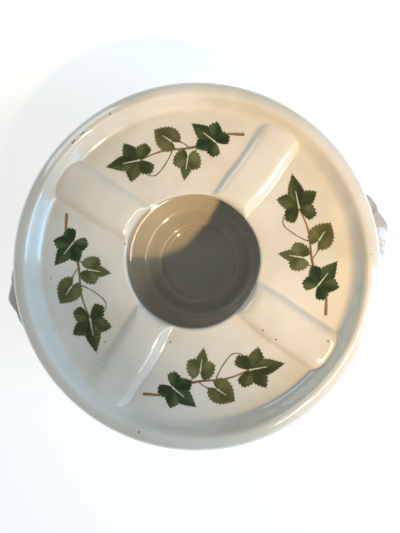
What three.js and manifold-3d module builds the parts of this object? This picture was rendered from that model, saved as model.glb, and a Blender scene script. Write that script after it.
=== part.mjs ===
// Porcelain teapot warmer: a bowl that holds a tealight, two lugs luted onto the bowl's wall, and
// a ring-shaped top with four ribs for the pot, which lifts off to reach the candle.
// Millimetres, +Z up. The origin is on the table at the warmer's axis, and the lugs lie along X.
import * as THREE from "three";
import { mergeVertices } from "three/addons/utils/BufferGeometryUtils.js";
import Module from "manifold-3d";

// Driving dimensions
const HEIGHT = 72; // table to the crest of the rim
const RIM_R = 80; // widest radius of the rim
const CREST_R = 73.6; // radius of the rim's crest
const FLOOR_R = 69.6; // where the ring's floor meets the rim's inner slope
const FLOOR_DROP = 7.5; // crest down to the floor's glaze
const RIB_DROP = 3.7; // crest down to the rib tops
const RIM_SHOULDER = 6; // crest down to where the rim's outside turns straight
const RIM_FULLNESS = { out: 3, drop: 1.8 }; // how full the rim's shoulder is
const SLOPE = { crest: 2.6, foot: 1.6, start: 2.4 }; // pulls of the inner slope's curve, and its start
const HOLE_R = 29.8; // flue hole in the middle of the ring
const HOLE_SHIFT = new THREE.Vector2(-0.5, 1.4); // the hole is cut by hand, a little off the axis
const SHIFT_END_R = 52; // radius beyond which the ring isn't drawn along with its hole
const WALL = 4; // wall of a slip-cast piece
const LIP_BEAD = 2; // rounding of the flue hole's edge
const RIB_COUNT = 4;
const RIB_TURN = Math.PI / 4; // first rib, measured from +X
const RIB_TOP_W = 13;
const RIB_BASE_W = 20;
const RIB_SHOULDER = { pull: 1.6, ease: 0.2 }; // curve of a rib's sides
const RIB_SETBACK = 0.6; // from the flue hole's edge to a rib's rounded end
const RIB_ROLL = { length: 6, ease: 0.2 }; // how a rib's top rolls down to the flue hole
const RIB_ROOT = 1.5; // how far a rib's section reaches down into the plate
const RIB_END = 1; // from the crest back to where a rib ends, inside the rim
const OVERSHOOT = 1; // how far a cutting shape starts outside what it cuts
const GROOVE_DEPTH = 2.6; // hollow under each rib, which keeps the wall even
const GROOVE_FLARE = 2; // how much wider the hollow is at its mouth, on each side
const GROOVE_INSET = 1; // how much narrower the hollow's roof is than the rib's top, on each side
const GROOVE_ENDS = { inner: 6, outer: 4 }; // plate left at the ends of the hollow
const SEAT_GAP = 0.3; // clearance where the ring sits on the bowl
const MOUTH_R = 77.4; // outside of the bowl's mouth
const MOUTH_Z = 63.2; // top of the bowl's mouth
const FLANGE_DROP = 6.5; // how far the ring's flange reaches down inside the mouth
const SKIRT_Z = 60.4; // bottom edge of the skirt that hides the seam
const SKIRT_TUCK = { in: 1.2, out: 0.1, low: 1, high: 3 }; // curve of the skirt's bottom edge
const FILLET = 2; // inside corner of the flange and the plate
const CHAMFER = 1; // broken edges of the flange and the mouth
const FOOT_R = 40; // outside of the foot ring
const FOOT_W = 4.5;
const FOOT_H = 4.4; // recess inside the foot ring
const FOOT_WAIST = 1; // how far the foot ring narrows above its base
const FOOT_EDGE = 1.5; // upright edge at the foot ring's base
const FOOT_NECK = { low: 6, high: 5, flare: 2 }; // waist's start, and its end below the wall
const BOWL_WALL = 4.6; // wall of the bowl below its straight mouth
const MOUTH_STRAIGHT = 10; // straight stretch of wall under the mouth
const BELLY = { drop: 26, r: 57, rise: 15.3 }; // pulls of the bowl's inner curve
const COVE = { out: 6.8, up: 6, pullOut: 1.7, pullUp: 3.4 }; // cove between the bowl and the ledge
const WELL_R = 20.7; // recess that locates the tealight
const WELL_DRAFT = 0.6; // how much wider the recess is at its top
const WELL_Z = 8.2;
const LEDGE_R = 30.7; // step round the ledge outside the recess
const LEDGE_Z = 11.2;
const VENT_R = 4.5;
const VENT_FACETS = 16;
const DRILL = { length: 40, inset: 6 }; // tool that cuts a vent, and how far in its middle lies
const VENT_Z = 44;
const VENTS_PER_SIDE = 3;
const VENT_STEP = THREE.MathUtils.degToRad(17); // between two vents of a group
const LUG_TIP_R = 91.5; // tip of a lug from the axis
const LUG_Z = 52.5; // middle height of a lug
const LUG_ROOT_HALF_W = 12; // root of a lug's pointed middle lobe
const LUG_THICK = 8;
const LUG_LIFT = 1.2; // how far the middle lobe stands above the side lobes
const LUG_BURIED = 5; // how far a lug's outline starts inside the wall that trims it
const LUG_NECK = 1; // straight root of the middle lobe outside the bowl's wall
const LUG_SHOULDER = 4; // from a lug's tip back to the pull of its curved sides
const LUG_NOSE = { back: 0.8, half: 1.4 }; // rounding of a lug's tip
const SIDE_LOBE = { x: 78.5, y: 9.3, r: 9.3 };
const EDGE = 1.4; // rounding of a lug's edges
const EDGE_STEPS = 2;
const LOBE_STEPS = 10;
const TURN_STEPS = 48; // facets round every turned piece
const BOWL_CURVE_STEPS = 6;
const RING_CURVE_STEPS = 4;

const FLOOR_Z = HEIGHT - FLOOR_DROP;
const RIB_Z = HEIGHT - RIB_DROP;
const UNDER_Z = FLOOR_Z - WALL;
const MOUTH_IN_R = MOUTH_R - WALL;
const FLANGE_R = MOUTH_IN_R - SEAT_GAP;
const FLANGE_Z = MOUTH_Z - FLANGE_DROP;
const SEAT_Z = MOUTH_Z + SEAT_GAP;

const wasm = await Module();
wasm.setup();

// Solids ------------------------------------------------------------------------------------

function toSolid(geometry) {
  const bare = geometry.clone().deleteAttribute("normal").deleteAttribute("uv");
  const merged = mergeVertices(bare, 1e-4);
  return new wasm.Manifold(
    new wasm.Mesh({
      numProp: 3,
      vertProperties: merged.attributes.position.array,
      triVerts: new Uint32Array(merged.index.array),
    }),
  );
}

function toGeometry(solid) {
  const mesh = solid.getMesh();
  const geometry = new THREE.BufferGeometry();
  geometry.setAttribute("position", new THREE.BufferAttribute(mesh.vertProperties, 3));
  geometry.setIndex(new THREE.BufferAttribute(mesh.triVerts, 1));
  geometry.computeVertexNormals();
  return geometry;
}

// A closed outline of radius and height, turned round the Z axis.
function turned(outline) {
  const points = outline.getPoints();
  if (!points[0].equals(points.at(-1))) points.push(points[0].clone());
  return toSolid(new THREE.LatheGeometry(points, TURN_STEPS).rotateX(Math.PI / 2));
}

// An outline in Y and Z, run along X from one radius to another.
function barAlongX(outline, from, to) {
  const bar = new THREE.ExtrudeGeometry(outline, { depth: to - from, bevelEnabled: false });
  // Shape x, y and the depth become Y, Z and X.
  const turn = new THREE.Matrix4().makeBasis(
    new THREE.Vector3(0, 1, 0),
    new THREE.Vector3(0, 0, 1),
    new THREE.Vector3(1, 0, 0),
  );
  return bar.applyMatrix4(turn).translate(from, 0, 0);
}

// Turned outlines -----------------------------------------------------------------------------

function ringOutline() {
  const path = new THREE.Path();
  path.moveTo(HOLE_R, UNDER_Z + LIP_BEAD);
  path.quadraticCurveTo(HOLE_R, UNDER_Z, HOLE_R + LIP_BEAD, UNDER_Z);
  path.lineTo(FLANGE_R - WALL - FILLET, UNDER_Z);
  path.lineTo(FLANGE_R - WALL, UNDER_Z - FILLET);
  path.lineTo(FLANGE_R - WALL, FLANGE_Z);
  path.lineTo(FLANGE_R - CHAMFER, FLANGE_Z);
  path.lineTo(FLANGE_R, FLANGE_Z + CHAMFER);
  path.lineTo(FLANGE_R, SEAT_Z);
  path.lineTo(MOUTH_R + SEAT_GAP, SEAT_Z);
  path.lineTo(MOUTH_R + SEAT_GAP, SKIRT_Z);
  path.lineTo(RIM_R - SKIRT_TUCK.in, SKIRT_Z);
  path.bezierCurveTo(
    RIM_R - SKIRT_TUCK.out,
    SKIRT_Z + SKIRT_TUCK.low,
    RIM_R,
    SKIRT_Z + SKIRT_TUCK.high,
    RIM_R,
    HEIGHT - RIM_SHOULDER,
  );
  path.bezierCurveTo(RIM_R, HEIGHT - RIM_FULLNESS.drop, CREST_R + RIM_FULLNESS.out, HEIGHT, CREST_R, HEIGHT);
  path.bezierCurveTo(
    CREST_R - SLOPE.crest,
    HEIGHT,
    FLOOR_R + SLOPE.foot,
    FLOOR_Z,
    FLOOR_R - SLOPE.start,
    FLOOR_Z,
  );
  path.lineTo(HOLE_R + LIP_BEAD, FLOOR_Z);
  path.quadraticCurveTo(HOLE_R, FLOOR_Z, HOLE_R, FLOOR_Z - LIP_BEAD);
  path.closePath();
  return trimmed(path, RING_CURVE_STEPS);
}

// The bowl's inside from below its mouth down to the ledge, as points.
function bowlInside() {
  const path = new THREE.Path();
  const low = new THREE.Vector2(LEDGE_R + COVE.out, LEDGE_Z + COVE.up);
  path.moveTo(MOUTH_IN_R, MOUTH_Z - MOUTH_STRAIGHT);
  path.bezierCurveTo(MOUTH_IN_R, MOUTH_Z - BELLY.drop, BELLY.r, LEDGE_Z + BELLY.rise, low.x, low.y);
  path.quadraticCurveTo(LEDGE_R + COVE.pullOut, LEDGE_Z + COVE.pullUp, LEDGE_R, LEDGE_Z);
  return trimmed(path, BOWL_CURVE_STEPS).getPoints();
}

// The bowl's outside, from the foot ring's top up to the mouth: the inside moved out by the wall.
function bowlOutside(extra) {
  const inside = bowlInside();
  const outside = [];
  for (let i = 1; i < inside.length - 1; i++) {
    const along = inside[i + 1].clone().sub(inside[i - 1]).normalize();
    const point = inside[i].clone().add(new THREE.Vector2(-along.y, along.x).multiplyScalar(BOWL_WALL));
    point.x = Math.min(point.x, MOUTH_R);
    if (point.x > FOOT_R + FOOT_WAIST) outside.unshift(point);
  }
  outside.push(new THREE.Vector2(MOUTH_R, MOUTH_Z - MOUTH_STRAIGHT));
  return outside.map((point) => point.setX(point.x + extra));
}

function bowlOutline() {
  const outside = bowlOutside(0);
  const points = [
    new THREE.Vector2(FOOT_R - FOOT_W, 0),
    new THREE.Vector2(FOOT_R, 0),
    new THREE.Vector2(FOOT_R, FOOT_EDGE),
    new THREE.Vector2(FOOT_R - FOOT_WAIST, FOOT_NECK.low),
    new THREE.Vector2(FOOT_R - FOOT_WAIST, outside[0].y - FOOT_NECK.high),
    new THREE.Vector2(FOOT_R, outside[0].y - FOOT_NECK.flare),
    ...outside,
    new THREE.Vector2(MOUTH_R, MOUTH_Z - CHAMFER),
    new THREE.Vector2(MOUTH_R - CHAMFER, MOUTH_Z),
    new THREE.Vector2(MOUTH_IN_R + CHAMFER, MOUTH_Z),
    new THREE.Vector2(MOUTH_IN_R, MOUTH_Z - CHAMFER),
    ...bowlInside(),
    new THREE.Vector2(WELL_R + WELL_DRAFT, LEDGE_Z),
    new THREE.Vector2(WELL_R, WELL_Z),
    new THREE.Vector2(0, WELL_Z),
    new THREE.Vector2(0, FOOT_H),
    new THREE.Vector2(FOOT_R - FOOT_W - FOOT_WAIST, FOOT_H),
  ];
  return { getPoints: () => points };
}

// Curves sampled alike, with no point twice.
function trimmed(path, steps) {
  const points = path.getPoints(steps);
  const kept = points.filter((p, i) => i === 0 || p.distanceTo(points[i - 1]) > 1e-6);
  return { getPoints: () => kept };
}

// Pieces --------------------------------------------------------------------------------------

// A rib's section: a flat top with rounded shoulders that run out to the floor.
function ribSection(topHalf, baseHalf, top, bottom) {
  const section = new THREE.Shape();
  const { pull, ease } = RIB_SHOULDER;
  const low = FLOOR_Z + ease * (top - FLOOR_Z);
  section.moveTo(-baseHalf, bottom);
  section.lineTo(baseHalf, bottom);
  section.lineTo(baseHalf, FLOOR_Z);
  section.bezierCurveTo(baseHalf - pull, low, topHalf + pull, top, topHalf, top);
  section.lineTo(-topHalf, top);
  section.bezierCurveTo(-topHalf - pull, top, -baseHalf + pull, low, -baseHalf, FLOOR_Z);
  section.closePath();
  return section;
}

// The space that the ribs may fill: rounded over the flue hole's edge, and ending in the rim.
function ribEnvelope() {
  const path = new THREE.Path();
  const bottom = FLOOR_Z - LIP_BEAD;
  const inner = HOLE_R + RIB_SETBACK;
  const outer = CREST_R - RIB_END;
  path.moveTo(inner, bottom);
  path.lineTo(outer, bottom);
  path.lineTo(outer, RIB_Z);
  path.lineTo(HOLE_R + RIB_ROLL.length, RIB_Z);
  const high = RIB_Z - RIB_ROLL.ease * (RIB_Z - bottom);
  path.bezierCurveTo(HOLE_R + RIB_ROLL.length / 2, RIB_Z, inner, high, inner, bottom);
  path.closePath();
  return trimmed(path, RING_CURVE_STEPS);
}

function warmingRing() {
  let ring = turned(ringOutline());
  const envelope = turned(ribEnvelope());
  const section = ribSection(RIB_TOP_W / 2, RIB_BASE_W / 2, RIB_Z, FLOOR_Z - RIB_ROOT);
  const roofHalf = RIB_TOP_W / 2 - GROOVE_INSET;
  const hollow = new THREE.Shape();
  hollow.moveTo(-roofHalf - GROOVE_FLARE, UNDER_Z - OVERSHOOT);
  hollow.lineTo(roofHalf + GROOVE_FLARE, UNDER_Z - OVERSHOOT);
  hollow.lineTo(roofHalf, UNDER_Z + GROOVE_DEPTH);
  hollow.lineTo(-roofHalf, UNDER_Z + GROOVE_DEPTH);
  hollow.closePath();
  for (let i = 0; i < RIB_COUNT; i++) {
    const turn = RIB_TURN + (i * 2 * Math.PI) / RIB_COUNT;
    const rib = toSolid(barAlongX(section, HOLE_R - LIP_BEAD, CREST_R).rotateZ(turn)).intersect(envelope);
    const [from, to] = [HOLE_R + GROOVE_ENDS.inner, FLANGE_R - WALL - GROOVE_ENDS.outer];
    const groove = toSolid(barAlongX(hollow, from, to).rotateZ(turn));
    ring = ring.add(rib).subtract(groove);
  }
  return holeShifted(toGeometry(ring));
}

// The ring with its hole moved sideways, and the plate round the hole drawn along with it.
function holeShifted(geometry) {
  const position = geometry.getAttribute("position");
  for (let i = 0; i < position.count; i++) {
    const radius = Math.hypot(position.getX(i), position.getY(i));
    const share = 1 - THREE.MathUtils.smoothstep(radius, HOLE_R + LIP_BEAD, SHIFT_END_R);
    position.setX(i, position.getX(i) + HOLE_SHIFT.x * share);
    position.setY(i, position.getY(i) + HOLE_SHIFT.y * share);
  }
  geometry.computeVertexNormals();
  return geometry;
}

function bowlShell() {
  let bowl = turned(bowlOutline());
  for (const side of [1, -1]) {
    for (let i = 0; i < VENTS_PER_SIDE; i++) {
      const turn = side * (Math.PI / 2) + (i - (VENTS_PER_SIDE - 1) / 2) * VENT_STEP;
      const drill = new THREE.CylinderGeometry(VENT_R, VENT_R, DRILL.length, VENT_FACETS);
      drill.rotateZ(Math.PI / 2).translate(MOUTH_R - DRILL.inset, 0, VENT_Z).rotateZ(turn);
      bowl = bowl.subtract(toSolid(drill));
    }
  }
  return toGeometry(bowl);
}

// Everything the bowl fills or holds, a little oversize, so that a lug stops just short of it.
function bowlPlug() {
  const wall = bowlOutside(SEAT_GAP);
  const points = [
    new THREE.Vector2(0, wall[0].y),
    ...wall,
    new THREE.Vector2(MOUTH_R + SEAT_GAP, MOUTH_Z),
    new THREE.Vector2(0, MOUTH_Z),
  ];
  return turned({ getPoints: () => points });
}

// A flat outline in plan, standing from a lower to an upper height, with rounded edges.
function slab(outline, low, high) {
  const plate = new THREE.ExtrudeGeometry(outline, {
    depth: high - low - 2 * EDGE,
    bevelThickness: EDGE,
    bevelSize: EDGE,
    bevelOffset: -EDGE,
    bevelSegments: EDGE_STEPS,
    curveSegments: LOBE_STEPS,
  });
  return toSolid(plate.translate(0, 0, low + EDGE));
}

// A lug on the +X side: a pointed lobe standing on two round ones, flush against the bowl's wall.
function lug() {
  const root = MOUTH_R - LUG_BURIED;
  const neck = MOUTH_R + LUG_NECK;
  const shoulder = LUG_TIP_R - LUG_SHOULDER;
  const nose = LUG_TIP_R - LUG_NOSE.back;
  const low = LUG_Z - LUG_THICK / 2;
  const high = LUG_Z + LUG_THICK / 2;
  const point = new THREE.Shape();
  point.moveTo(root, -LUG_ROOT_HALF_W);
  point.lineTo(neck, -LUG_ROOT_HALF_W);
  point.quadraticCurveTo(shoulder, -LUG_ROOT_HALF_W / 2, nose, -LUG_NOSE.half);
  point.quadraticCurveTo(LUG_TIP_R, 0, nose, LUG_NOSE.half);
  point.quadraticCurveTo(shoulder, LUG_ROOT_HALF_W / 2, neck, LUG_ROOT_HALF_W);
  point.lineTo(root, LUG_ROOT_HALF_W);
  point.closePath();
  let solid = slab(point, low + LUG_LIFT, high + LUG_LIFT);
  for (const side of [1, -1]) {
    const round = new THREE.Shape();
    round.absarc(SIDE_LOBE.x, side * SIDE_LOBE.y, SIDE_LOBE.r, 0, 2 * Math.PI, false);
    solid = solid.add(slab(round, low, high));
  }
  return toGeometry(solid.subtract(bowlPlug()));
}

// Scene graph ---------------------------------------------------------------------------------

function glaze(colour) {
  return new THREE.MeshStandardMaterial({ color: colour, roughness: 0.12, metalness: 0 });
}

function named(name, geometry, material) {
  const mesh = new THREE.Mesh(geometry, material);
  mesh.name = name;
  return mesh;
}

const warmer = new THREE.Group();
const base = new THREE.Group();
base.add(named("candle_bowl", bowlShell(), glaze(0xe9e2cf)));
const lugRight = named("lug_right", lug(), glaze(0xe6dfcc));
const lugLeft = named("lug_left", lug(), glaze(0xe6dfcc));
lugLeft.rotation.z = Math.PI;
base.add(lugRight, lugLeft);
warmer.add(base, named("warming_ring", warmingRing(), glaze(0xece5d3)));

export default warmer;
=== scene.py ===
"""Looks of a porcelain teapot warmer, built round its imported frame.

Three castings are turned and shaped here: the ring with its four pot ribs, the bowl that holds the
tealight, and the two lugs. Vine leaf transfers lie on the ring's floor. Lengths inside the classes are
in millimetres, and every finished mesh is in metres, in the frame's own place.
"""

from __future__ import annotations

import logging
import math
from dataclasses import dataclass, field
from enum import Enum
from typing import Callable

import bmesh
import bpy
from mathutils import Matrix, Vector
from mathutils.bvhtree import BVHTree

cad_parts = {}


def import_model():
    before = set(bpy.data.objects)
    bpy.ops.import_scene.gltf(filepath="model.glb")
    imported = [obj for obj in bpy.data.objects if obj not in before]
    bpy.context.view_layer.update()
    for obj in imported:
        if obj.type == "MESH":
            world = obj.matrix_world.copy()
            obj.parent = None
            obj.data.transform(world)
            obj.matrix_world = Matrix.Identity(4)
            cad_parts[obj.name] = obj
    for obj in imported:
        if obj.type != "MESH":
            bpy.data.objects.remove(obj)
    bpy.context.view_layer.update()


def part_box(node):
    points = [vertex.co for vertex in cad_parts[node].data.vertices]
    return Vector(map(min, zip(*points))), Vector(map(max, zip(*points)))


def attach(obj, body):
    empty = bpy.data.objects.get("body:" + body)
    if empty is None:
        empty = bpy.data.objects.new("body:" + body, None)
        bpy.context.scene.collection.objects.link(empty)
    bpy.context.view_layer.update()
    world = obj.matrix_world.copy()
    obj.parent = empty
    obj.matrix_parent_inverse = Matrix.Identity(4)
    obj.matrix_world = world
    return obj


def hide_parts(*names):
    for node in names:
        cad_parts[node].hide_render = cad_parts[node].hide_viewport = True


LOG = logging.getLogger("warmer")
MM = 0.001
RIPPLE_MM = 0.03
Point = tuple[float, float]
# The chips in the rim's glaze, by turn in degrees at one radius in millimetres.
CHIP_R = 74.0
RIM_CHIPS: tuple[Point, ...] = tuple(
    (CHIP_R * math.cos(math.radians(turn)), CHIP_R * math.sin(math.radians(turn)))
    for turn in (108, 119, 120, 123, 124)
)
SPRAYS = 4


# Shape helpers -----------------------------------------------------------------------------------


def clamp(value: float, low: float = 0.0, high: float = 1.0) -> float:
    """Return value held between low and high."""
    return max(low, min(high, value))


def smooth_step(value: float, start: float, end: float) -> float:
    """Return 0 before start, 1 after end, and a smooth rise between them."""
    x = clamp((value - start) / (end - start))
    return x * x * (3.0 - 2.0 * x)


def smooth_max(a: float, b: float, reach: float) -> float:
    """Return the larger of two numbers, with a rounded change from one to the other.

    Args:
        a: one number.
        b: the other.
        reach: difference within which the two are blended.

    Returns:
        The blended maximum.
    """
    h = clamp(0.5 + 0.5 * (a - b) / reach)
    return b + (a - b) * h + reach * h * (1.0 - h)


def smooth_min(a: float, b: float, reach: float) -> float:
    """Return the smaller of two numbers, with a rounded change from one to the other."""
    return -smooth_max(-a, -b, reach)


def bezier(points: list[Point], steps: int) -> list[Point]:
    """Sample a quadratic or cubic curve.

    Args:
        points: three or four control points.
        steps: number of points returned, the curve's first point left out.

    Returns:
        The points along the curve.
    """
    weights = {3: (1, 2, 1), 4: (1, 3, 3, 1)}[len(points)]
    order = len(points) - 1
    out = []
    for i in range(1, steps + 1):
        t = i / steps
        share = [w * (1 - t) ** (order - k) * t**k for k, w in enumerate(weights)]
        out.append(tuple(sum(s * p[axis] for s, p in zip(share, points)) for axis in (0, 1)))
    return out


def straight(start: Point, end: Point, steps: int) -> list[Point]:
    """Return points along a line, its first point left out."""
    return [
        (start[0] + (end[0] - start[0]) * i / steps, start[1] + (end[1] - start[1]) * i / steps)
        for i in range(1, steps + 1)
    ]


def through(points: list[Point], steps: int) -> list[Point]:
    """Sample a smooth curve that passes through every point.

    Args:
        points: the points to pass through.
        steps: steps between each point and the next.

    Returns:
        The points along the curve, its two ends included.
    """
    ends = [(2 * points[0][k] - points[1][k]) for k in (0, 1)]
    last = [(2 * points[-1][k] - points[-2][k]) for k in (0, 1)]
    chain = [tuple(ends), *points, tuple(last)]
    out = [points[0]]
    for a, b, c, d in zip(chain, chain[1:], chain[2:], chain[3:]):
        for i in range(1, steps + 1):
            t = i / steps
            out.append(
                tuple(
                    0.5
                    * (
                        2 * b[k]
                        + (c[k] - a[k]) * t
                        + (2 * a[k] - 5 * b[k] + 4 * c[k] - d[k]) * t * t
                        + (3 * b[k] - a[k] - 3 * c[k] + d[k]) * t**3
                    )
                    for k in (0, 1)
                )
            )
    return out


def turn_profile(profile: list[Point], steps: int, closed: bool) -> bmesh.types.BMesh:
    """Turn an outline of radius and height round the Z axis.

    Args:
        profile: the outline's points, in millimetres.
        steps: columns round the full turn.
        closed: whether the outline's last point joins its first.

    Returns:
        A bmesh in millimetres with its faces outwards.
    """
    bm = bmesh.new()
    row = [bm.verts.new((r, 0.0, z)) for r, z in profile]
    pairs = list(zip(row, row[1:] + row[:1] if closed else row[1:]))
    edges = [bm.edges.new(pair) for pair in pairs]
    bmesh.ops.spin(
        bm,
        geom=row + edges,
        cent=(0, 0, 0),
        axis=(0, 0, 1),
        angle=2 * math.pi,
        steps=steps,
        use_merge=True,
        use_duplicate=False,
    )
    bmesh.ops.remove_doubles(bm, verts=bm.verts, dist=1e-5)
    bmesh.ops.recalc_face_normals(bm, faces=bm.faces)
    return bm


def finish_mesh(bm: bmesh.types.BMesh, name: str, sharp_deg: float = 60.0) -> bpy.types.Object:
    """Make an object of a bmesh that is in millimetres.

    Args:
        bm: the mesh, which is freed.
        name: the piece's name.
        sharp_deg: edges that bend more than this stay sharp.

    Returns:
        The linked object, at the origin, with its place in its mesh.
    """
    bmesh.ops.scale(bm, vec=(MM, MM, MM), verts=bm.verts)
    for face in bm.faces:
        face.smooth = True
    for edge in bm.edges:
        if len(edge.link_faces) == 2 and edge.calc_face_angle(0.0) > math.radians(sharp_deg):
            edge.smooth = False
    mesh = bpy.data.meshes.new(name)
    bm.to_mesh(mesh)
    bm.free()
    piece = bpy.data.objects.new(name, mesh)
    bpy.context.scene.collection.objects.link(piece)
    return piece


def dress(piece: bpy.types.Object, finishes: list[bpy.types.Material]) -> None:
    """Give a piece its materials in order."""
    for finish in finishes:
        piece.data.materials.append(finish)


# Finishes ----------------------------------------------------------------------------------------


class NodeSheet:
    """A material's node tree, with short calls for the nodes it needs."""

    def __init__(self, name: str) -> None:
        """Start a material with a principled shader and no other nodes."""
        self.material = bpy.data.materials.new(name)
        self.material.use_nodes = True
        self.tree = self.material.node_tree
        self.tree.nodes.clear()
        self.output = self.add("ShaderNodeOutputMaterial")
        self.shader = self.add("ShaderNodeBsdfPrincipled")
        self.link(self.shader, "BSDF", self.output, "Surface")

    def add(self, kind: str, **settings: object) -> bpy.types.Node:
        """Add a node and set its properties."""
        node = self.tree.nodes.new(kind)
        for key, value in settings.items():
            setattr(node, key, value)
        return node

    def link(
        self, source: bpy.types.Node, out: str | int, target: bpy.types.Node, into: str | int
    ) -> None:
        """Join one node's output to another's input."""
        self.tree.links.new(source.outputs[out], target.inputs[into])

    def coordinates(self, which: str = "Object") -> bpy.types.Node:
        """Return a Mapping node fed with the named texture coordinates."""
        source = self.add("ShaderNodeTexCoord")
        mapping = self.add("ShaderNodeMapping")
        self.link(source, which, mapping, "Vector")
        return mapping

    def noise(self, where: bpy.types.Node, scale: float, detail: float) -> bpy.types.Node:
        """Return a noise texture at a scale in turns per metre."""
        node = self.add("ShaderNodeTexNoise")
        node.inputs["Scale"].default_value = scale
        node.inputs["Detail"].default_value = detail
        self.link(where, 0, node, "Vector")
        return node

    def spread(self, source: bpy.types.Node, out: str, low: float, high: float) -> bpy.types.Node:
        """Return a Map Range node that takes low..high to 0..1."""
        node = self.add("ShaderNodeMapRange", interpolation_type="SMOOTHSTEP")
        node.inputs["From Min"].default_value = low
        node.inputs["From Max"].default_value = high
        self.link(source, out, node, "Value")
        return node

    def ripple(self, where: bpy.types.Node, height_mm: float) -> None:
        """Give the shader the slow unevenness of a fired glaze."""
        waves = self.noise(where, 95.0, 2.0)
        bump = self.add("ShaderNodeBump")
        bump.inputs["Distance"].default_value = height_mm * MM
        bump.inputs["Strength"].default_value = 1.0
        self.link(waves, "Fac", bump, "Height")
        self.link(bump, 0, self.shader, "Normal")

    def mix(self, share: tuple[bpy.types.Node, str | int], first: object, second: object) -> bpy.types.Node:
        """Return a colour mix; each colour is a tuple, or a node and its output."""
        node = self.add("ShaderNodeMix", data_type="RGBA")
        self.tree.links.new(share[0].outputs[share[1]], node.inputs["Factor"])
        for socket, value in ((node.inputs[6], first), (node.inputs[7], second)):
            if isinstance(value[0], bpy.types.Node):
                self.tree.links.new(value[0].outputs[value[1]], socket)
            else:
                socket.default_value = (*value, 1.0)
        return node

    def math(self, operation: str, first: object, second: object = 0.0) -> bpy.types.Node:
        """Return a Math node; each operand is a number, or a node and its output."""
        node = self.add("ShaderNodeMath", operation=operation)
        for socket, value in ((node.inputs[0], first), (node.inputs[1], second)):
            if isinstance(value, tuple):
                self.tree.links.new(value[0].outputs[value[1]], socket)
            else:
                socket.default_value = value
        return node


@dataclass(frozen=True)
class Glaze:
    """Clear gloss glaze over ivory porcelain, with kiln specks and a soft unevenness."""

    name: str = "glazed_porcelain"
    ivory: tuple[float, float, float] = (0.80, 0.755, 0.66)
    pooled: tuple[float, float, float] = (0.70, 0.655, 0.55)
    speck: tuple[float, float, float] = (0.055, 0.035, 0.02)
    roughness: float = 0.04
    coat: float = 0.5
    chips: tuple[Point, ...] = ()
    chip_mm: float = 0.75
    ripple_mm: float = RIPPLE_MM

    def build(self) -> bpy.types.Material:
        """Return the glaze as a material."""
        sheet = NodeSheet(self.name)
        where = sheet.coordinates()
        cloud = sheet.noise(where, 38.0, 3.0)
        share = sheet.spread(cloud, "Fac", 0.35, 0.7)
        body = sheet.mix((share, 0), self.ivory, self.pooled)
        specks = self._specks(sheet, where, 420.0, 0.16, 0.985)
        for place in self.chips:
            specks = sheet.math("MAXIMUM", (specks, 0), (self.chip(sheet, where, place), 0))
        tinted = sheet.mix((specks, 0), (body, 2), self.speck)
        sheet.link(tinted, 2, sheet.shader, "Base Color")
        wear = sheet.noise(where, 150.0, 4.0)
        rough = sheet.add("ShaderNodeMapRange")
        rough.inputs["From Min"].default_value = 0.3
        rough.inputs["From Max"].default_value = 0.75
        rough.inputs["To Min"].default_value = self.roughness
        rough.inputs["To Max"].default_value = self.roughness + 0.03
        sheet.link(wear, "Fac", rough, "Value")
        sheet.link(rough, 0, sheet.shader, "Roughness")
        sheet.ripple(where, self.ripple_mm)
        sheet.shader.inputs["IOR"].default_value = 1.58
        sheet.shader.inputs["Coat Weight"].default_value = self.coat
        sheet.shader.inputs["Coat Roughness"].default_value = 0.02
        return sheet.material

    def chip(self, sheet: NodeSheet, where: bpy.types.Node, place: Point) -> bpy.types.Node:
        """Return a mask of one ragged chip in the glaze, at a place seen from above."""
        noise = sheet.noise(where, 2200.0, 3.0)
        apart = sheet.add("ShaderNodeSeparateXYZ")
        sheet.link(where, 0, apart, "Vector")
        offs = [sheet.math("SUBTRACT", (apart, axis), place[axis] * MM) for axis in (0, 1)]
        squares = [sheet.math("MULTIPLY", (off, 0), (off, 0)) for off in offs]
        away = sheet.math("SQRT", (sheet.math("ADD", (squares[0], 0), (squares[1], 0)), 0))
        ragged = sheet.math("MULTIPLY", (noise, "Fac"), 2.0 * self.chip_mm * MM)
        reach = sheet.math("SUBTRACT", (ragged, 0), 0.45 * self.chip_mm * MM)
        return sheet.math("LESS_THAN", (away, 0), (reach, 0))

    @staticmethod
    def _specks(
        sheet: NodeSheet, where: bpy.types.Node, scale: float, size: float, rarity: float
    ) -> bpy.types.Node:
        """Return a node that is 1 inside a few small random spots.

        Args:
            sheet: the material's nodes.
            where: the coordinates to read.
            scale: cells per metre.
            size: a spot's radius, as a share of its cell.
            rarity: share of the cells that have no spot.

        Returns:
            The node whose first output is the mask.
        """
        cells = sheet.add("ShaderNodeTexVoronoi", feature="F1")
        cells.inputs["Scale"].default_value = scale
        sheet.link(where, 0, cells, "Vector")
        near = sheet.math("LESS_THAN", (cells, "Distance"), size)
        pick = sheet.add("ShaderNodeSeparateColor")
        sheet.link(cells, "Color", pick, "Color")
        rare = sheet.math("GREATER_THAN", (pick, 0), rarity)
        return sheet.math("MULTIPLY", (near, 0), (rare, 0))


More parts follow.
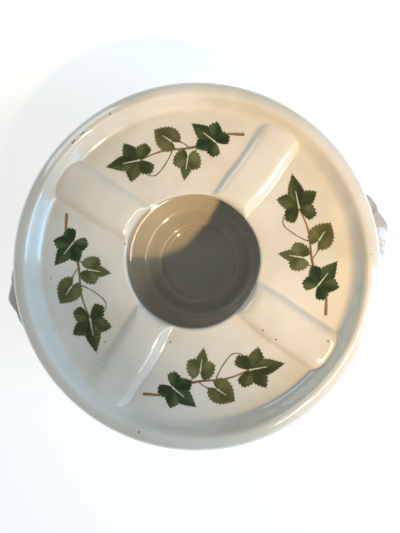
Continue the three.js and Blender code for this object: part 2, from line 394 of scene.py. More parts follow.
@dataclass(frozen=True)
class Biscuit:
    """Bare fired clay of the foot ring, wiped clean of glaze."""

    name: str = "bare_foot"
    clay: tuple[float, float, float] = (0.62, 0.57, 0.49)
    grime: tuple[float, float, float] = (0.33, 0.29, 0.24)

    def build(self) -> bpy.types.Material:
        """Return the bare clay as a material."""
        sheet = NodeSheet(self.name)
        where = sheet.coordinates()
        grain = sheet.noise(where, 900.0, 6.0)
        stain = sheet.spread(sheet.noise(where, 60.0, 3.0), "Fac", 0.45, 0.8)
        colour = sheet.mix((stain, 0), self.clay, self.grime)
        sheet.link(colour, 2, sheet.shader, "Base Color")
        bump = sheet.add("ShaderNodeBump")
        bump.inputs["Distance"].default_value = 0.08 * MM
        sheet.link(grain, "Fac", bump, "Height")
        sheet.link(bump, 0, sheet.shader, "Normal")
        sheet.shader.inputs["Roughness"].default_value = 0.75
        return sheet.material


@dataclass(frozen=True)
class Print:
    """A transfer colour that runs from a shaded tone to a lit one, under a thin gloss."""

    name: str
    shaded: tuple[float, float, float]
    middle: tuple[float, float, float]
    lit: tuple[float, float, float]
    roughness: float = 0.16

    def build(self) -> bpy.types.Material:
        """Return the transfer colour as a material that follows the piece's tone attribute."""
        sheet = NodeSheet(self.name)
        where = sheet.coordinates()
        tone = sheet.add("ShaderNodeAttribute", attribute_name="tone")
        grain = sheet.noise(where, 700.0, 4.0)
        shift = sheet.math("MULTIPLY_ADD", (grain, "Fac"), 0.34)
        shift.inputs[2].default_value = -0.17
        level = sheet.math("ADD", (tone, "Fac"), (shift, 0))
        ramp = sheet.add("ShaderNodeValToRGB")
        ramp.color_ramp.elements[0].color = (*self.shaded, 1)
        ramp.color_ramp.elements[1].color = (*self.lit, 1)
        ramp.color_ramp.elements.new(0.5).color = (*self.middle, 1)
        sheet.link(level, 0, ramp, "Fac")
        sheet.link(ramp, "Color", sheet.shader, "Base Color")
        sheet.ripple(where, RIPPLE_MM)
        sheet.shader.inputs["Roughness"].default_value = self.roughness
        sheet.shader.inputs["IOR"].default_value = 1.5
        return sheet.material


PRINTS = (
    Print("print_folded", (0.010, 0.022, 0.006), (0.037, 0.060, 0.018), (0.125, 0.150, 0.062)),
    Print("print_broad", (0.014, 0.022, 0.005), (0.058, 0.068, 0.018), (0.185, 0.180, 0.070)),
    Print("print_small", (0.045, 0.056, 0.016), (0.110, 0.118, 0.042), (0.230, 0.225, 0.110)),
    Print("print_heart", (0.050, 0.050, 0.012), (0.118, 0.112, 0.036), (0.215, 0.195, 0.085)),
    Print("print_pale", (0.420, 0.430, 0.300), (0.560, 0.560, 0.400), (0.640, 0.630, 0.470)),
    Print("print_stem", (0.100, 0.050, 0.016), (0.250, 0.145, 0.060), (0.420, 0.290, 0.160)),
    Print("print_thread", (0.110, 0.080, 0.050), (0.210, 0.165, 0.110), (0.330, 0.280, 0.200)),
)


@dataclass(frozen=True)
class Paper:
    """The pale floor that the warmer stands on."""

    name: str = "pale_floor"
    colour: tuple[float, float, float] = (0.93, 0.93, 0.925)

    def build(self) -> bpy.types.Material:
        """Return the floor's material."""
        sheet = NodeSheet(self.name)
        where = sheet.coordinates()
        cloud = sheet.spread(sheet.noise(where, 3.0, 2.0), "Fac", 0.2, 0.9)
        pale = sheet.mix((cloud, 0), self.colour, tuple(c * 0.985 for c in self.colour))
        sheet.link(pale, 2, sheet.shader, "Base Color")
        sheet.shader.inputs["Emission Color"].default_value = (1.0, 0.92, 0.84, 1.0)
        sheet.shader.inputs["Emission Strength"].default_value = 0.48
        sheet.shader.inputs["Roughness"].default_value = 0.9
        return sheet.material


# The ring ----------------------------------------------------------------------------------------


@dataclass
class WarmingRing:
    """The ring-shaped top: rim, plate, four pot ribs, flue hole and locating flange."""

    rim_r: float
    height: float
    crest_r: float = 73.6
    floor_r: float = 69.6
    floor_drop: float = 7.5
    rib_drop: float = 3.7
    hole_r: float = 29.8
    wall: float = 4.0
    lip: float = 1.25
    seat_z: float = 63.5
    skirt_z: float = 60.4
    channel_r: float = 77.7
    flange_r: float = 73.1
    flange_z: float = 56.7
    hole_shift: Point = (-0.5, 1.4)
    shift_end_r: float = 52.0
    rib_half: float = 10.3
    rib_shoulder: float = 6.0
    rib_end_r: float = 74.4
    rib_end_ease: float = 0.70
    rib_corner: float = 6.0
    rib_crown: float = 0.45
    rib_count: int = 4
    rib_turn: float = math.pi / 4
    columns: int = 480
    name: str = "ring_casting"
    tree: BVHTree | None = field(default=None, repr=False)

    @property
    def floor_z(self) -> float:
        """Height of the floor's glaze."""
        return self.height - self.floor_drop

    @property
    def rib_rise(self) -> float:
        """Height of the rib tops above the floor."""
        return self.floor_drop - self.rib_drop

    @property
    def under_z(self) -> float:
        """Height of the plate's underside."""
        return self.floor_z - self.wall

    def profile(self) -> list[Point]:
        """Return the ring's outline before the ribs rise: lip, floor, rim, skirt, flange, underside."""
        hole, lip, floor_z, under_z = self.hole_r, self.lip, self.floor_z, self.under_z
        rim, top, crest = self.rim_r - 0.12, self.height - 0.06, self.crest_r
        inner = self.flange_r - self.wall
        points = [(hole, floor_z - lip)]
        for i in range(1, 9):
            angle = math.pi - i * math.pi / 16
            points.append((hole + lip + lip * math.cos(angle), floor_z - lip + lip * math.sin(angle)))
        points += straight((hole + lip, floor_z), (self.floor_r - 2.4, floor_z), 44)
        points += bezier(
            [(self.floor_r - 2.4, floor_z), (self.floor_r + 1.6, floor_z), (crest - 2.6, top), (crest, top)],
            26,
        )
        points += bezier([(crest, top), (crest + 3, top), (rim, top - 1.8), (rim, top - 6)], 18)
        points += bezier(
            [
                (rim, top - 6),
                (rim, self.skirt_z + 3),
                (rim - 0.1, self.skirt_z + 1),
                (rim - 0.7, self.skirt_z + 0.4),
            ],
            7,
        )
        points += bezier(
            [(rim - 0.7, self.skirt_z + 0.4), (rim - 1.1, self.skirt_z), (rim - 1.6, self.skirt_z + 0.2)], 3
        )
        points += [(self.channel_r + 0.3, self.skirt_z + 0.3), (self.channel_r, self.skirt_z + 0.7)]
        points += straight(points[-1], (self.channel_r, self.seat_z - 0.4), 2)
        points += [(self.channel_r - 0.4, self.seat_z)]
        points += straight(points[-1], (self.flange_r + 0.5, self.seat_z), 3)
        points += [(self.flange_r, self.seat_z - 0.5)]
        points += straight(points[-1], (self.flange_r, self.flange_z + 1.2), 4)
        turn_in = (self.flange_r - 1.5, self.flange_z)
        points += bezier([points[-1], (self.flange_r, self.flange_z), turn_in], 4)
        points += straight(points[-1], (inner + 1.2, self.flange_z), 2)
        points += bezier([points[-1], (inner, self.flange_z), (inner, self.flange_z + 1.2)], 4)
        points += [(inner, under_z - 1.9)]
        points += bezier([(inner, under_z - 1.9), (inner, under_z), (inner - 2, under_z)], 5)
        points += straight(points[-1], (hole + lip, under_z), 36)
        for i in range(1, 9):
            angle = 1.5 * math.pi - i * math.pi / 16
            points.append((hole + lip + lip * math.cos(angle), under_z + lip + lip * math.sin(angle)))
        return points

    def column_angle(self, share: float, radius: float) -> float:
        """Place a mesh column so that columns run along the ribs' sides.

        Args:
            share: from 0 on a rib's middle line to 1 halfway to the next rib.
            radius: distance from the axis.

        Returns:
            The angle from the rib's middle line.
        """
        rib_share, reach = 0.56, self.rib_half + 1.2
        edge = math.asin(min(1.0, reach / max(radius, reach)))
        quarter = math.pi / self.rib_count
        if share <= rib_share:
            return math.asin(min(1.0, reach * share / rib_share / max(radius, reach)))
        return edge + (quarter - edge) * (share - rib_share) / (1.0 - rib_share)

    def rib_height(self, radius: float, from_rib: float) -> float:
        """Return the rib surface's height above the floor, negative outside the rib.

        Args:
            radius: distance from the axis.
            from_rib: angle from the rib's middle line.

        Returns:
            The height, in millimetres.
        """
        along, across = radius * math.cos(from_rib), abs(radius * math.sin(from_rib))
        taper = 0.9 * smooth_step(42.0 - along, 0.0, 12.0)
        side = self.rib_half - taper - across
        end = (self.rib_end_r - along) * self.rib_end_ease
        x = smooth_min(side, end, self.rib_corner) / self.rib_shoulder
        rise = self.rib_rise
        shoulder = rise * (1.0 - (1.0 - min(x, 1.0)) ** 2.2) if x > 0 else rise * 2.2 * x
        crown = -self.rib_crown * (across / self.rib_half) ** 2
        roll_x = clamp((radius - self.hole_r) / 7.0)
        roll = -self.lip + (rise + self.lip) * math.sqrt(1.0 - (1.0 - roll_x) ** 2)
        return smooth_min(shoulder + crown, roll, 1.6)

    def surface(self, radius: float, angle: float, base: float) -> float:
        """Return the top surface's height where the plain profile's height is base."""
        from_rib = self.from_rib(angle)
        raised = self.floor_z + self.rib_height(radius, from_rib)
        if raised < base - 2.0:
            return base
        return smooth_max(base, raised, 0.9)

    def from_rib(self, angle: float) -> float:
        """Return the angle from the nearest rib's middle line."""
        pitch = 2 * math.pi / self.rib_count
        turn = (angle - self.rib_turn) / pitch
        return (turn - round(turn)) * pitch

    def shifted(self, x: float, y: float) -> Point:
        """Draw a point of the plate along with its off-centre, hand-cut hole."""
        radius = math.hypot(x, y)
        share = 1.0 - smooth_step(radius, self.hole_r + self.lip, self.shift_end_r)
        angle = math.atan2(y, x)
        wobble = share * (0.28 * math.sin(3 * angle + 0.7) + 0.16 * math.sin(5 * angle + 2.1))
        return (
            x + self.hole_shift[0] * share + wobble * math.cos(angle),
            y + self.hole_shift[1] * share + wobble * math.sin(angle),
        )

    def shape(self, co: Vector) -> Vector:
        """Move one turned point to its place on the finished ring."""
        radius, angle = math.hypot(co.x, co.y), math.atan2(co.y, co.x)
        pitch = 2 * math.pi / self.rib_count
        turn = (angle - self.rib_turn) / pitch
        rib = round(turn)
        local = (turn - rib) * 2.0
        new = self.column_angle(abs(local), radius) * (1 if local >= 0 else -1)
        angle = self.rib_turn + rib * pitch + new
        z = co.z
        if z >= self.floor_z - self.lip and radius < self.crest_r:
            z = self.surface(radius, angle, z)
        elif z <= self.under_z + 1e-4 and radius < self.flange_r - self.wall - 1.5:
            z += self._groove(radius, new)
        x, y = self.shifted(radius * math.cos(angle), radius * math.sin(angle))
        return Vector((x, y, z))

    def top_at(self, x: float, y: float) -> float:
        """Return the finished top surface's height at a place."""
        hit = self.tree.ray_cast(Vector((x, y, self.height + 10)), Vector((0, 0, -1)))[0]
        return hit.z if hit else self.floor_z

    def _groove(self, radius: float, from_rib: float) -> float:
        """Return how far the underside is hollowed below a rib."""
        along, across = radius * math.cos(from_rib), abs(radius * math.sin(from_rib))
        inside = smooth_min(7.4 - across, smooth_min(along - 34.5, 66.0 - along, 2.0), 2.0)
        return 2.6 * smooth_step(inside, -0.6, 2.4)

    def build(self, glaze: bpy.types.Material) -> bpy.types.Object:
        """Return the ring, dressed and riding on its body."""
        bm = turn_profile(self.profile(), self.columns, closed=True)
        for vert in bm.verts:
            vert.co = self.shape(vert.co)
        self.tree = BVHTree.FromBMesh(bm)
        piece = finish_mesh(bm, self.name)
        dress(piece, [glaze])
        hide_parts("warming_ring")
        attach(piece, "ring")
        return piece


# The transfers -----------------------------------------------------------------------------------


# Degrees between the middle lines of a leaf's neighbouring lobes.
LOBE_STEP = 62.0


class LeafKind(Enum):
    """The plain leaves of a spray: lobes on each side of the main one, length in mm and notch depth."""

    BROAD = (2, 15.0, 0.36)
    FOLDED = (2, 13.0, 0.28)
    SMALL = (1, 10.0, 0.30)
    HEART = (0, 9.0, 0.0)

    def edge(self, turn: float) -> float:
        """Return the outline's distance in a direction, the same on both sides of the heading."""
        lobes, length, bite = self.value
        off = abs((turn + 180.0) % 360.0 - 180.0)
        body = length * (0.80 - 0.30 * off / 180.0 + 0.20 * math.exp(-off / 16.0))
        step = min(off / LOBE_STEP, lobes)
        away = 2.0 * abs(step - round(step))
        return body * (1.0 - bite * away**0.8) * max(smooth_step(180.0 - off, -4.0, 30.0), 0.06)

    def ribs(self) -> list[float]:
        """Return the turns of the leaf's veins, the middle lines of its lobes."""
        return [k * LOBE_STEP for k in range(-self.value[0], self.value[0] + 1)]


@dataclass(frozen=True)
class Leaf:
    """One printed leaf, laid on the floor glaze.

    Its place is where its stalk meets its veins, and its heading is its main tip's direction in
    degrees, both in the spray's own axes: outwards, then round the ring.
    """

    kind: LeafKind
    place: Point
    heading: float
    fold: float
    layer: int
    columns: int = 384
    rings: int = 9
    teeth_mm: float = 1.7
    tooth: float = 0.82

    def outline(self) -> list[float]:
        """Return the outline's distance for each column, with teeth that lean towards the tip."""
        step = 360.0 / self.columns
        plain = [self.kind.edge(step * k) for k in range(self.columns)]
        out = list(plain)
        for way in (1, -1):
            walked = 0.0
            for k in range(self.columns // 2 + 1):
                here, after = plain[way * k], plain[(way * (k + 1)) % self.columns]
                phase = (walked / self.teeth_mm + 0.2) % 1.0
                bite = self.tooth * phase**1.3 * smooth_step(here, 1.8, 5.5)
                out[way * k] = here - bite
                walked += math.hypot(after - here, here * math.radians(step))
        return out

    def tone(self, turn: float, share: float, edge: float) -> float:
        """Return how light the leaf is at a point, from 0, shaded, to 1, lit.

        Args:
            turn: the point's direction, in degrees from the heading.
            share: its distance as a share of the edge's.
            edge: the edge's distance there, in millimetres.

        Returns:
            The tone.
        """
        offs = [(turn - rib + 180.0) % 360.0 - 180.0 for rib in self.kind.ribs()]
        off = min(offs, key=abs)
        beside = edge * share * math.sin(math.radians(clamp(off, -80, 80)))
        lean = math.tanh(beside / 0.9) * self.fold
        vein = 0.22 * math.exp(-((beside / 0.2) ** 2)) * smooth_step(share, 0.05, 0.3) * (1.0 - share)
        patch = math.sin(math.radians(2.0 * turn + 70.0 * self.layer)) * math.sin(math.pi * share)
        return 0.40 + 0.20 * lean + vein + 0.22 * patch + 0.20 * (share - 0.5)

    def build(self, drape: Callable[[float, float, float], Vector]) -> tuple[bmesh.types.BMesh, list[float]]:
        """Return the leaf as a thin closed sheet, with the tone of each of its points."""
        bm = bmesh.new()
        row = [bm.verts.new((k / self.rings, 0.0, 0.0)) for k in range(self.rings + 1)]
        edges = [bm.edges.new(pair) for pair in zip(row, row[1:])]
        bmesh.ops.spin(
            bm,
            geom=row + edges,
            cent=(0, 0, 0),
            axis=(0, 0, 1),
            angle=2 * math.pi,
            steps=self.columns,
            use_merge=True,
            use_duplicate=False,
        )
        bmesh.ops.remove_doubles(bm, verts=bm.verts, dist=1e-5)
        bmesh.ops.recalc_face_normals(bm, faces=bm.faces)
        outline = self.outline()
        tones = {}
        for vert in bm.verts:
            share = vert.co.length
            column = math.atan2(vert.co.y, vert.co.x) / (2 * math.pi) * self.columns
            edge = outline[round(column) % self.columns]
            turn = 360.0 * column / self.columns
            reach = edge * share**0.9
            angle = math.radians(self.heading + turn)
            tones[vert] = self.tone(turn, share, edge)
            vert.co = drape(
                self.place[0] + reach * math.cos(angle),
                self.place[1] + reach * math.sin(angle),
                0.012 * self.layer,
            )
        return close_sheet(bm, tones)

    def midrib(self) -> Stalk:
        """Return the leaf's pale midrib, a short way along its heading."""
        way = (math.cos(math.radians(self.heading)), math.sin(math.radians(self.heading)))
        length = self.kind.value[1]
        points = tuple(
            (self.place[0] + way[0] * length * share, self.place[1] + way[1] * length * share)
            for share in (-0.08, 0.15, 0.45)
        )
        return Stalk(points, 0.8, 0.3, 8)


@dataclass(frozen=True)
class Stalk:
    """One printed stem or leaf stalk: a ribbon that passes through a few points."""

    points: tuple[Point, ...]
    start_w: float
    end_w: float
    layer: int
    steps: int = 14

    def build(self, drape: Callable[[float, float, float], Vector]) -> tuple[bmesh.types.BMesh, list[float]]:
        """Return the stalk as a thin closed sheet, with the tone of each of its points."""
        line = through(list(self.points), self.steps)
        count = len(line) - 1
        bm = bmesh.new()
        bmesh.ops.create_grid(bm, x_segments=count, y_segments=4, size=1.0)
        tones = {}
        for vert in bm.verts:
            at = round((vert.co.x + 1.0) / 2.0 * count)
            before, after = line[max(at - 1, 0)], line[min(at + 1, count)]
            along = Vector((after[0] - before[0], after[1] - before[1])).normalized()
            share = at / count
            half = 0.5 * (self.start_w + (self.end_w - self.start_w) * share)
            half *= 1.0 + 0.10 * math.sin(7.0 * share * count / self.steps)
            off = vert.co.y * half
            tones[vert] = 0.5 - 0.3 * vert.co.y + 0.12 * math.sin(9.0 * share)
            vert.co = drape(line[at][0] - along.y * off, line[at][1] + along.x * off, 0.012 * self.layer)
        return close_sheet(bm, tones)


def close_sheet(
    bm: bmesh.types.BMesh, tones: dict[bmesh.types.BMVert, float], depth: float = 0.14
) -> tuple[bmesh.types.BMesh, list[float]]:
    """Give a draped sheet its thickness, downwards.

    Args:
        bm: the open sheet.
        tones: the tone of each point.
        depth: the thickness, in millimetres.

    Returns:
        The closed sheet, and each point's tone in the order of its points.
    """
    above = {vert.co.to_tuple(4)[:2]: tone for vert, tone in tones.items()}
    made = bmesh.ops.extrude_face_region(bm, geom=list(bm.faces))["geom"]
    low = [item for item in made if isinstance(item, bmesh.types.BMVert)]
    bmesh.ops.translate(bm, verts=low, vec=(0, 0, -depth))
    bmesh.ops.recalc_face_normals(bm, faces=bm.faces)
    bm.verts.index_update()
    return bm, [above.get(vert.co.to_tuple(4)[:2], 0.5) for vert in bm.verts]


@dataclass
class Spray:
    """One plain spray: four leaves in turn along a waving stem, with their stalks and a tendril."""

    number: int
    turn: float
    ring: WarmingRing
    lift: float = 0.045
    leaves: tuple[Leaf, ...] = (
        Leaf(LeafKind.FOLDED, (52.0, -19.0), 40.0, 0.9, 2),
        Leaf(LeafKind.SMALL, (46.0, -6.0), 160.0, 0.5, 3),
        Leaf(LeafKind.HEART, (56.0, 0.0), 45.0, 0.3, 4),
        Leaf(LeafKind.BROAD, (50.0, 16.0), 90.0, 0.6, 5),
    )
    stems: tuple[Stalk, ...] = (
        Stalk(((52.0, -33.0), (54.0, -22.0), (51.0, -10.0), (52.0, 4.0), (50.0, 16.0)), 1.3, 0.75, 0),
    )
    threads: tuple[Stalk, ...] = (
        Stalk(((53.0, -12.0), (49.0, -10.0), (46.0, -6.0)), 0.6, 0.5, 1),
        Stalk(((51.0, -8.0), (54.0, -5.0), (56.0, 0.0)), 0.6, 0.5, 1),
        Stalk(((51.0, 0.0), (46.0, 4.0), (42.0, 9.0), (43.0, 13.0), (46.0, 13.0)), 0.6, 0.4, 1),
    )

    def midribs(self) -> tuple[Stalk, ...]:
        """Return a pale midrib for each leaf, from just behind its stalk's end."""
        return tuple(leaf.midrib() for leaf in self.leaves)

    def drape(self, out: float, round_ring: float, lift: float) -> Vector:
        """Return the glaze's point under a place in the spray's own axes, raised a little."""
        angle = math.radians(self.turn)
        x = out * math.cos(angle) - round_ring * math.sin(angle)
        y = out * math.sin(angle) + round_ring * math.cos(angle)
        return Vector((x, y, self.ring.top_at(x, y) + self.lift + lift))

    def gather(
        self,
        name: str,
        groups: list[tuple[tuple[Leaf, ...] | tuple[Stalk, ...], bpy.types.Material]],
    ) -> bpy.types.Object:
        """Join printed shapes into one piece.

        Args:
            name: the piece's name.
            groups: the shapes, with a finish for each group.

        Returns:
            The piece, which rides with the ring.
        """
        whole, tones, tints = bmesh.new(), [], []
        for index, (shapes, _) in enumerate(groups):
            for shape in shapes:
                bm, shades = shape.build(self.drape)
                part = bpy.data.meshes.new("part")
                bm.to_mesh(part)
                bm.free()
                whole.from_mesh(part)
                bpy.data.meshes.remove(part)
                whole.faces.ensure_lookup_table()
                for face in whole.faces[len(tints) :]:
                    face.material_index = index
                    tints.append(index)
                tones += shades
        piece = finish_mesh(whole, name)
        layer = piece.data.attributes.new("tone", "FLOAT", "POINT")
        layer.data.foreach_set("value", tones)
        dress(piece, [finish for _, finish in groups])
        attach(piece, "ring")
        return piece

    def build(self, prints: dict[str, bpy.types.Material]) -> list[bpy.types.Object]:
        """Return the spray's leaves and its stems."""
        groups = [((leaf,), prints[leaf.kind.name.lower()]) for leaf in self.leaves]
        groups.append((self.midribs(), prints["pale"]))
        return [
            self.gather(f"spray_{self.number}_leaves", groups),
            self.gather(
                f"spray_{self.number}_stems",
                [(self.stems, prints["stem"]), (self.threads, prints["thread"])],
            ),
        ]


# The bowl ----------------------------------------------------------------------------------------


@dataclass
class CandleBowl:
    """The bowl under the ring, with its foot ring, tealight recess and air vents."""

    mouth_r: float
    mouth_z: float
    wall: float = 4.0
    low_wall: float = 4.6
    straight: float = 10.0
    foot_r: float = 40.0
    foot_w: float = 4.5
    foot_h: float = 4.4
    foot_waist: float = 1.0
    well_r: float = 20.7
    well_z: float = 8.2
    ledge_r: float = 30.7
    ledge_z: float = 11.2
    vent_r: float = 4.5
    vent_z: float = 44.0
    vents_per_side: int = 3
    vent_step_deg: int = 17
    vent_ring: int = 3
    vent_reach: int = 7
    vent_round: float = 0.7
    columns: int = 360
    name: str = "bowl_casting"

    def inside(self) -> list[Point]:
        """Return the inner wall's points, from below the mouth down to the ledge."""
        inner = self.mouth_r - self.wall
        low = (self.ledge_r + 7.4, self.ledge_z + 6.6)
        start = (inner, self.mouth_z - self.straight)
        points = [start] + bezier([start, (inner, self.mouth_z - 26), (57, self.ledge_z + 15.3), low], 44)
        foot = (self.ledge_r + 1.9, self.ledge_z + 1.9)
        points += bezier([low, (self.ledge_r + 3.4, self.ledge_z + 3.9), foot], 8)
        ledge = (self.ledge_r - 2.4, self.ledge_z)
        return points + bezier([foot, (self.ledge_r + 0.2, self.ledge_z), ledge], 9)

    def outside(self) -> list[Point]:
        """Return the outer wall's points, from the foot ring's top up to the mouth."""
        inner = self.inside()[:45]
        points = []
        for before, here, after in zip(inner, inner[1:], inner[2:]):
            along = Vector((after[0] - before[0], after[1] - before[1])).normalized()
            r = min(here[0] - along.y * self.low_wall, self.mouth_r)
            z = here[1] + along.x * self.low_wall
            if r > self.foot_r + 1:
                points.insert(0, (r, z))
        return points + [(self.mouth_r, self.mouth_z - self.straight)]

    def profile(self) -> list[Point]:
        """Return the bowl's outline from the middle of its underside round to its inside's middle."""
        foot, waist = self.foot_r, self.foot_r - self.foot_waist
        in_foot = foot - self.foot_w
        outer = self.outside()
        low_z = outer[0][1]
        inner_r = self.mouth_r - self.wall
        points = [(0.0, self.foot_h)] + straight((0, self.foot_h), (in_foot - 2.0, self.foot_h), 8)
        points += bezier([points[-1], (in_foot - 0.4, self.foot_h), (in_foot, 1.0)], 5)
        points += [(in_foot + 0.5, 0.25), (in_foot + 1.2, 0.0)]
        points += straight(points[-1], (foot - 1.2, 0.0), 3)
        points += [(foot - 0.5, 0.2), (foot - 0.12, 0.7)]
        points += bezier([points[-1], (waist, 4.0), (waist, low_z - 6.5)], 6)
        points += bezier([points[-1], (waist, low_z - 2.4), outer[0]], 6)
        points += outer[1:]
        points += straight(points[-1], (self.mouth_r, self.mouth_z - 1.2), 7)
        points += bezier([points[-1], (self.mouth_r, self.mouth_z), (self.mouth_r - 1.2, self.mouth_z)], 4)
        points += straight(points[-1], (inner_r + 1.2, self.mouth_z), 2)
        points += bezier([points[-1], (inner_r, self.mouth_z), (inner_r, self.mouth_z - 1.2)], 4)
        points += straight(points[-1], (inner_r, self.mouth_z - self.straight), 7)
        points += self.inside()[1:]
        points += straight(points[-1], (self.well_r + 2.8, self.ledge_z), 5)
        step = (self.well_r + 0.4, self.ledge_z - 1.3)
        points += bezier([points[-1], (self.well_r + 0.9, self.ledge_z), step], 8)
        points += bezier([points[-1], (self.well_r - 0.1, self.well_z), (self.well_r - 1.9, self.well_z)], 8)
        return points + straight(points[-1], (0.0, self.well_z), 14)

    def wall_row(self, profile: list[Point], outer: bool) -> tuple[int, list[Point]]:
        """Return the profile's row at vent height on one side of the wall, and the rows about it."""
        top = max(range(len(profile)), key=lambda k: profile[k][1])
        half = range(10, top - 5) if outer else range(top + 5, len(profile))
        row = min(half, key=lambda k: abs(profile[k][1] - self.vent_z) + (profile[k][0] < 50) * 99)
        reach = self.vent_reach
        return row, profile[row - reach : row + reach + 1]

    def cut_vents(self, bm: bmesh.types.BMesh, profile: list[Point]) -> None:
        """Cut the round air vents: draw the wall's grid into circles, open them and join them up.

        Args:
            bm: the turned bowl.
            profile: the outline that it was turned from.
        """
        rows = {point: k for k, point in enumerate(profile)}
        pitch = 2 * math.pi / self.columns
        grid = {}
        for vert in bm.verts:
            key = (round(math.hypot(vert.co.x, vert.co.y), 2), round(vert.co.z, 2))
            if key in rows:
                column = round(math.atan2(vert.co.y, vert.co.x) / pitch) % self.columns
                grid[(rows[key], column)] = vert
        middles = [
            round(math.radians(side * 90 + (k - (self.vents_per_side - 1) / 2) * self.vent_step_deg) / pitch)
            for side in (1, -1)
            for k in range(self.vents_per_side)
        ]
        for middle in middles:
            loops = [self.open_patch(bm, grid, profile, middle, outer) for outer in (True, False)]
            made = bmesh.ops.bridge_loops(bm, edges=loops[0] + loops[1])
            bmesh.ops.recalc_face_normals(bm, faces=made["faces"])
            bmesh.ops.bevel(
                bm,
                geom=[edge for edge in loops[0] + loops[1] if edge.is_valid],
                offset=self.vent_round,
                offset_type="OFFSET",
                affect="EDGES",
                segments=4,
                profile=0.5,
                material=-1,
            )

    def open_patch(
        self,
        bm: bmesh.types.BMesh,
        grid: dict[tuple[int, int], bmesh.types.BMVert],
        profile: list[Point],
        middle: int,
        outer: bool,
    ) -> list[bmesh.types.BMEdge]:
        """Draw one wall's grid into circles about a vent, and open the innermost.

        Args:
            bm: the turned bowl.
            grid: its points by row and column.
            profile: the outline that it was turned from.
            middle: the vent's column.
            outer: whether this is the wall's outside.

        Returns:
            The edges round the opening.
        """
        row, near = self.wall_row(profile, outer)
        reach, ring = self.vent_reach, self.vent_ring
        heights = sorted((z, r) for r, z in near)
        facing = 2 * math.pi * middle / self.columns
        inside = []
        for i in range(-reach, reach + 1):
            for j in range(-reach, reach + 1):
                vert = grid[(row + i, (middle + j) % self.columns)]
                level = max(abs(i), abs(j))
                across = j * 2 * math.pi / self.columns * profile[row][0]
                up = profile[row + i][1] - self.vent_z
                turn = math.atan2(up, across) if level else 0.0
                radius = self.vent_r * level / ring if level <= ring else self.vent_r + (level - ring) * 0.95
                pull = 1.0 - smooth_step(level, ring + 1, reach)
                across += (radius * math.cos(turn) - across) * pull
                up += (radius * math.sin(turn) - up) * pull
                z = self.vent_z + up
                r = self._between(heights, z)
                angle = facing + across / profile[row][0]
                vert.co = (r * math.cos(angle), r * math.sin(angle), z)
                if level <= ring:
                    inside.append(vert)
        kept = set(inside)
        faces = {face for vert in inside for face in vert.link_faces if all(v in kept for v in face.verts)}
        rim = [
            edge
            for edge in {edge for face in faces for edge in face.edges}
            if sum(face in faces for face in edge.link_faces) == 1
        ]
        bmesh.ops.delete(bm, geom=list(faces), context="FACES")
        return rim

    @staticmethod
    def _between(heights: list[Point], z: float) -> float:
        """Return the wall's radius at a height, from rows sorted by height."""
        for (low, r_low), (high, r_high) in zip(heights, heights[1:]):
            if low <= z <= high:
                return r_low + (r_high - r_low) * (z - low) / (high - low)
        return heights[0][1] if z < heights[0][0] else heights[-1][1]

    def build(self, glaze: bpy.types.Material, bare: bpy.types.Material) -> bpy.types.Object:
        """Return the bowl, dressed and riding on its body."""
        profile = [(round(r, 2), round(z, 2)) for r, z in self.profile()]
        bm = turn_profile(profile, self.columns, closed=False)
        self.cut_vents(bm, profile)
        for face in bm.faces:
            face.material_index = 1 if face.calc_center_median().z < 0.12 else 0
        piece = finish_mesh(bm, self.name)
        dress(piece, [glaze, bare])
        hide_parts("candle_bowl")
        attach(piece, "bowl")
        return piece


# The lugs ----------------------------------------------------------------------------------------


@dataclass
class Lug:
    """A moulded lug like a small leaf: a pointed lobe between two round ones."""

    node: str
    mirror: bool
    tip_r: float
    root_r: float = 75.5
    middle_z: float = 52.8
    side_x: float = 3.0
    side_y: float = 9.3
    side_r: float = 9.3
    point_slope: float = 0.45

    def reach(self, turn: float) -> float:
        """Return the outline's distance from the root at an angle from the lug's middle line."""
        turn = abs(turn)
        tip = self.tip_r - self.root_r
        middle = tip / (math.cos(turn) + self.point_slope * math.sin(turn)) if turn < 1.5 else 0.0
        middle -= 0.5 * math.exp(-((turn / 0.09) ** 2))
        along = self.side_x * math.cos(turn) + self.side_y * math.sin(turn)
        beside = self.side_x * math.sin(turn) - self.side_y * math.cos(turn)
        inside = self.side_r**2 - beside**2
        side = along + math.sqrt(inside) if inside > 0 else 0.0
        return max(middle, side, 4.0)

    def thickness(self, turn: float) -> Point:
        """Return the half thickness and the middle's rise at an angle from the middle line."""
        notch = 0.53
        turn = abs(turn)
        if turn < notch:
            return 4.6 - 1.2 * (turn / notch) ** 1.2, 0.9
        crown = math.sin(clamp((turn - notch) / (math.pi / 2 + 0.25 - notch)) * math.pi)
        flute = 0.18 * math.cos(14.0 * (turn - notch))
        return 3.4 + 0.5 * crown**0.6 + flute, 0.9 - 1.3 * smooth_step(turn, notch, notch + 0.3)

    def build(self, glaze: bpy.types.Material) -> bpy.types.Object:
        """Return the lug, dressed and riding on the bowl."""
        bm = bmesh.new()
        bmesh.ops.create_uvsphere(bm, u_segments=200, v_segments=48, radius=1.0)
        for vert in bm.verts:
            turn = math.atan2(vert.co.y, vert.co.x)
            flat = math.hypot(vert.co.x, vert.co.y)
            half, rise = self.thickness(turn)
            reach = self.reach(turn) * flat**0.85
            hug = 1.0 + 0.45 * math.exp(-(((reach * math.cos(turn)) - 1.9) ** 2) / 1.2)
            z = self.middle_z + rise * smooth_step(flat, 0.0, 0.6) + half * vert.co.z * hug
            vert.co = (self.root_r + reach * math.cos(turn), reach * math.sin(turn), z)
        if self.mirror:
            bmesh.ops.rotate(bm, verts=bm.verts, cent=(0, 0, 0), matrix=Matrix.Rotation(math.pi, 3, "Z"))
        piece = finish_mesh(bm, self.node + "_casting", 80.0)
        dress(piece, [glaze])
        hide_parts(self.node)
        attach(piece, "bowl")
        return piece


# The room ----------------------------------------------------------------------------------------


